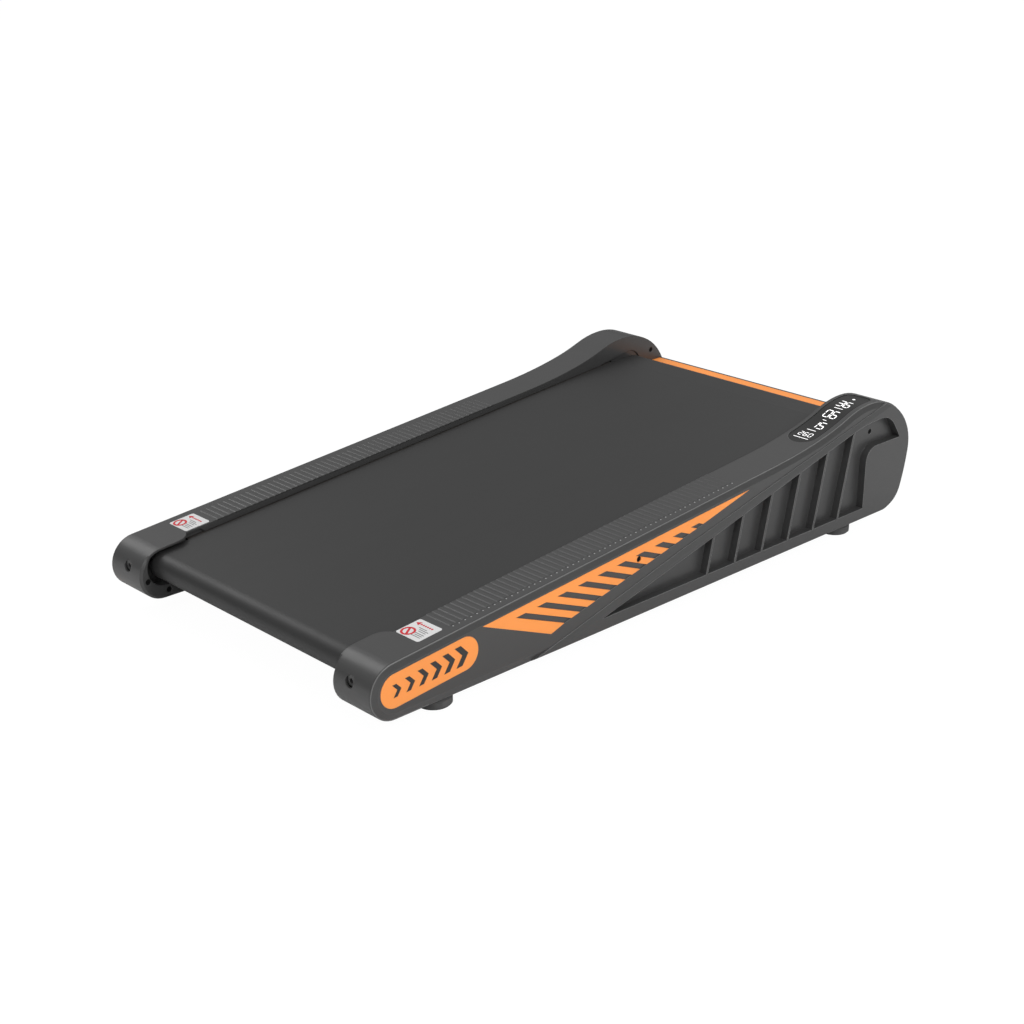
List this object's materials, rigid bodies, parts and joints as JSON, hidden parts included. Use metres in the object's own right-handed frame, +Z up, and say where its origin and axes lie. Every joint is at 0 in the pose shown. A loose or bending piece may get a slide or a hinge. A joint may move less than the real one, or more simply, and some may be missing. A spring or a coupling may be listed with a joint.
{
  "type": "under-desk treadmill",
  "caption": "Compact sloping walking pad: belt on a deck between two foot rails, raised front humps, orange side inlays and a display window.",
  "frame": {"origin": "on the floor, under the middle of the outline", "axes": "+X towards the raised front end, +Y to the walker's left, +Z up"},
  "size_m": [0.9805, 0.516, 0.192],
  "materials": {
    "rail_plastic": "satin moulded plastic, mid grey",
    "side_plastic": "satin moulded plastic, dark grey",
    "orange_plastic": "satin light orange",
    "label_plastic": "pale printed label",
    "frame_steel": "black powder coat",
    "zinc_steel": "zinc plated",
    "screw_black": "blackened screws",
    "foot_rubber": "black rubber",
    "deck_wood": "waxed fibreboard",
    "belt_rubber": "fine textured black belt",
    "roller_steel": "turned steel",
    "pulley_aluminium": "cast and turned",
    "drive_rubber": "ribbed drive belt",
    "motor_paint": "black enamel",
    "black_plastic": "black nylon",
    "button_plastic": "red button",
    "board_plastic": "green circuit board",
    "lens_plastic": "dark glossy window"
  },
  "bodies": {
    "frame": {"base_crossmember": "frame_steel", "belly_pan": "side_plastic", "breaker_body": "black_plastic", "cap_screws": "screw_black", "control_board": "board_plastic", "control_housing": "black_plastic", "deck_board": "deck_wood", "deck_cushions": "foot_rubber", "deck_screws": "zinc_steel", "display_board": "board_plastic", "display_lens": "lens_plastic", "drive_belt": "drive_rubber", "drive_motor": "motor_paint", "foot_studs": "zinc_steel", "front_axle_bolts": "zinc_steel", "front_cover": "side_plastic", "front_crossmember": "frame_steel", "front_roller_axle": "roller_steel", "front_strip": "orange_plastic", "left_accent_panel": "orange_plastic", "left_axle_block": "zinc_steel", "left_badge": "orange_plastic", "left_front_bracket": "frame_steel", "left_front_foot": "foot_rubber", "left_label": "label_plastic", "left_rail_cover": "rail_plastic", "left_rear_bracket": "frame_steel", "left_rear_foot": "foot_rubber", "left_side_beam": "frame_steel", "left_side_panel": "side_plastic", "mains_inlet": "black_plastic", "middle_crossmember": "frame_steel", "motor_bracket": "frame_steel", "panel_screws": "screw_black", "rear_axle_bolts": "zinc_steel", "rear_crossmember": "frame_steel", "rear_roller_axle": "roller_steel", "right_accent_panel": "orange_plastic", "right_axle_block": "zinc_steel", "right_badge": "orange_plastic", "right_front_bracket": "frame_steel", "right_front_foot": "foot_rubber", "right_label": "label_plastic", "right_rail_cover": "rail_plastic", "right_rear_bracket": "frame_steel", "right_rear_foot": "foot_rubber", "right_side_beam": "frame_steel", "right_side_panel": "side_plastic", "running_belt": "belt_rubber", "switch_housing": "black_plastic", "tension_bolts": "screw_black"},
    "front_roller": {"front_roller_tube": "roller_steel", "front_roller_bearings": "roller_steel", "drive_pulley": "pulley_aluminium"},
    "rear_roller": {"rear_roller_tube": "roller_steel", "rear_roller_bearings": "roller_steel"},
    "motor_rotor": {"motor_shaft": "roller_steel", "motor_pulley": "pulley_aluminium"},
    "power_rocker": {"switch_rocker": "black_plastic"},
    "reset_button": {"breaker_button": "button_plastic"}
  },
  "joints": [
    {"name": "front_roller_spin", "type": "hinge", "parent": "frame", "child": "front_roller", "pos_m": [0.406, 0, 0.1428], "axis": [0, 1, 0], "continuous": true},
    {"name": "rear_roller_spin", "type": "hinge", "parent": "frame", "child": "rear_roller", "pos_m": [-0.4535, 0, 0.0682], "axis": [0, 1, 0], "continuous": true},
    {"name": "motor_spin", "type": "hinge", "parent": "frame", "child": "motor_rotor", "pos_m": [0.446, 0, 0.078], "axis": [0, 1, 0], "continuous": true},
    {"name": "power_rocker_tip", "type": "hinge", "parent": "frame", "child": "power_rocker", "pos_m": [0.4645, 0.118, 0.071], "axis": [0, 1, 0], "range_deg": [-8, 8]},
    {"name": "reset_button_press", "type": "slide", "parent": "frame", "child": "reset_button", "axis": [-1, 0, 0], "range_m": [0, 0.002], "stiffness_N_per_m": 300}
  ],
  "couplings": [
    {"joint": "rear_roller_spin", "follows": "front_roller_spin", "ratio": 1.1818},
    {"joint": "motor_spin", "follows": "front_roller_spin", "ratio": 2.8182}
  ]
}
